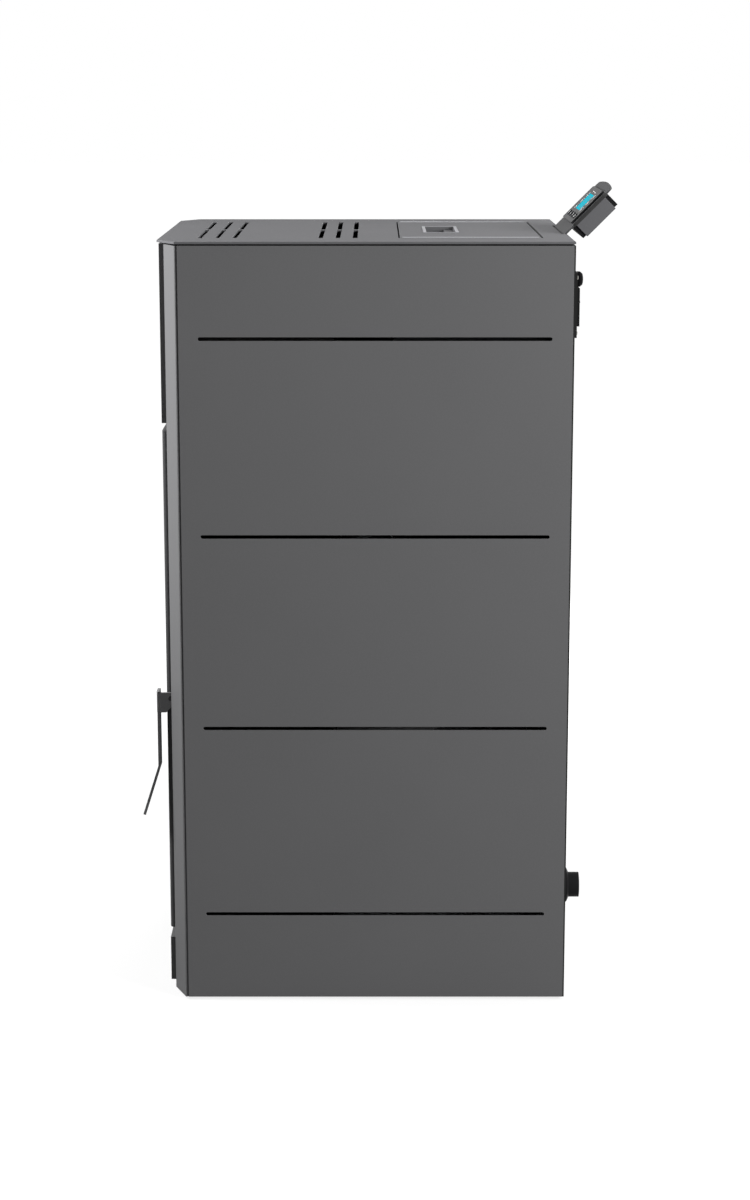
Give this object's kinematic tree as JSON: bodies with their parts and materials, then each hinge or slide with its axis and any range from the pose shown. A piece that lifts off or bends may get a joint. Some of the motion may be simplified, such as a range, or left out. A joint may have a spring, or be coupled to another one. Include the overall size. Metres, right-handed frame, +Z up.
{
  "type": "pellet stove",
  "caption": "Tall free-standing pellet stove in grey sheet steel: slotted folded sides, glazed fire door with a lever handle, ash drawer, hopper lid and a leaning control console.",
  "frame": {"origin": "on the floor, under the middle of the stove's overall box", "axes": "+Z up, front with the fire door towards -Y, +X towards the side with the handle"},
  "size_m": [0.48, 0.6263, 1.0669],
  "materials": {
    "casing_steel": "satin",
    "top_steel": "satin",
    "door_steel": "satin",
    "handle_steel": "satin",
    "black_steel": "matt",
    "galvanised_steel": "dull",
    "stainless_steel": "brushed",
    "motor_casting": "cast",
    "cast_iron": "as cast",
    "vermiculite_board": "matt",
    "igniter_ceramic": "matt",
    "door_glass": "clear dark",
    "rope_fibre": "woven",
    "black_plastic": "fine texture",
    "key_plastic": "fine texture",
    "bezel_plastic": "satin",
    "lcd_glass": "lit",
    "foot_rubber": "matt"
  },
  "bodies": {
    "casing": {"side_panel_left": "casing_steel", "side_panel_right": "casing_steel", "upper_front_panel": "casing_steel", "top_plate": "top_steel", "lid_hinge_pin": "top_steel", "console_plate": "top_steel", "display_cover": "top_steel", "front_frame": "black_steel", "rear_panel": "black_steel", "chassis_frame": "black_steel", "firebox": "black_steel", "inlet_bracket": "black_steel", "door_hinges": "black_steel", "burn_pot_support": "black_steel", "base_pan": "galvanised_steel", "hopper": "galvanised_steel", "auger_tube": "galvanised_steel", "pellet_chute": "galvanised_steel", "exhaust_scroll": "galvanised_steel", "smoke_duct": "galvanised_steel", "flue_collar": "galvanised_steel", "room_fan_housing": "galvanised_steel", "drawer_rails": "galvanised_steel", "air_duct": "galvanised_steel", "latch_keeper": "galvanised_steel", "exchanger_tubes": "stainless_steel", "flame_baffle": "stainless_steel", "auger_gearmotor": "motor_casting", "exhaust_motor": "motor_casting", "room_fan_motor": "motor_casting", "firebox_liners": "vermiculite_board", "igniter": "igniter_ceramic", "air_inlet_spigot": "black_plastic", "mains_inlet": "black_plastic", "thermostat_cap": "black_plastic", "display_housing": "black_plastic", "control_box": "black_plastic", "display_bezel": "bezel_plastic", "lcd_window": "lcd_glass", "feet": "foot_rubber"},
    "door": {"door_frame": "door_steel", "door_glass": "door_glass", "glass_clips": "galvanised_steel", "door_rope_seal": "rope_fibre"},
    "handle": {"latch_lever": "handle_steel", "door_handle": "handle_steel"},
    "lid": {"hopper_lid": "top_steel", "lid_pull": "top_steel", "lid_hinge_leaf": "top_steel"},
    "drawer": {"drawer_front": "casing_steel", "ash_pan": "galvanised_steel"},
    "pot": {"burn_pot": "cast_iron"},
    "auger": {"auger_screw": "stainless_steel"},
    "exhaust_fan": {"exhaust_impeller": "stainless_steel"},
    "room_fan": {"room_fan_rotor": "stainless_steel"},
    "rocker": {"rocker_switch": "black_plastic"},
    "key_1": {"console_key_1": "key_plastic"},
    "key_2": {"console_key_2": "key_plastic"},
    "key_3": {"console_key_3": "key_plastic"},
    "key_4": {"console_key_4": "key_plastic"}
  },
  "joints": [
    {"name": "door_hinge", "type": "hinge", "parent": "casing", "child": "door", "pos_m": [-0.189, -0.273, 0.4225], "axis": [0, 0, -1], "range_deg": [0, 110]},
    {"name": "handle_pivot", "type": "hinge", "parent": "door", "child": "handle", "pos_m": [0.19775, -0.273, 0.404], "axis": [-1, 0, 0], "range_deg": [0, 24]},
    {"name": "lid_hinge", "type": "hinge", "parent": "casing", "child": "lid", "pos_m": [0, 0.2107, 1.0027], "axis": [-1, 0, 0], "range_deg": [0, 100]},
    {"name": "drawer_slide", "type": "slide", "parent": "casing", "child": "drawer", "axis": [0, -1, 0], "range_m": [0, 0.17]},
    {"name": "burn_pot_lift", "type": "slide", "parent": "casing", "child": "pot", "axis": [0, 0, 1], "range_m": [0, 0.06]},
    {"name": "auger_spin", "type": "hinge", "parent": "casing", "child": "auger", "pos_m": [0, 0.16, 0.43], "axis": [0, -0.766, 0.6428], "continuous": true},
    {"name": "exhaust_spin", "type": "hinge", "parent": "casing", "child": "exhaust_fan", "pos_m": [-0.155, 0.105, 0.175], "axis": [1, 0, 0], "continuous": true},
    {"name": "room_fan_spin", "type": "hinge", "parent": "casing", "child": "room_fan", "pos_m": [0.045, 0.172, 0.07], "axis": [1, 0, 0], "continuous": true},
    {"name": "rocker_pivot", "type": "hinge", "parent": "casing", "child": "rocker", "pos_m": [0.199, 0.25205, 0.931], "axis": [-1, 0, 0], "range_deg": [0, 14]},
    {"name": "key_1_press", "type": "slide", "parent": "casing", "child": "key_1", "axis": [0, 0.7071, -0.7071], "range_m": [0, 0.0008], "stiffness_N_per_m": 400, "springref_m": -0.0005},
    {"name": "key_2_press", "type": "slide", "parent": "casing", "child": "key_2", "axis": [0, 0.7071, -0.7071], "range_m": [0, 0.0008], "stiffness_N_per_m": 400, "springref_m": -0.0005},
    {"name": "key_3_press", "type": "slide", "parent": "casing", "child": "key_3", "axis": [0, 0.7071, -0.7071], "range_m": [0, 0.0008], "stiffness_N_per_m": 400, "springref_m": -0.0005},
    {"name": "key_4_press", "type": "slide", "parent": "casing", "child": "key_4", "axis": [0, 0.7071, -0.7071], "range_m": [0, 0.0008], "stiffness_N_per_m": 400, "springref_m": -0.0005}
  ]
}
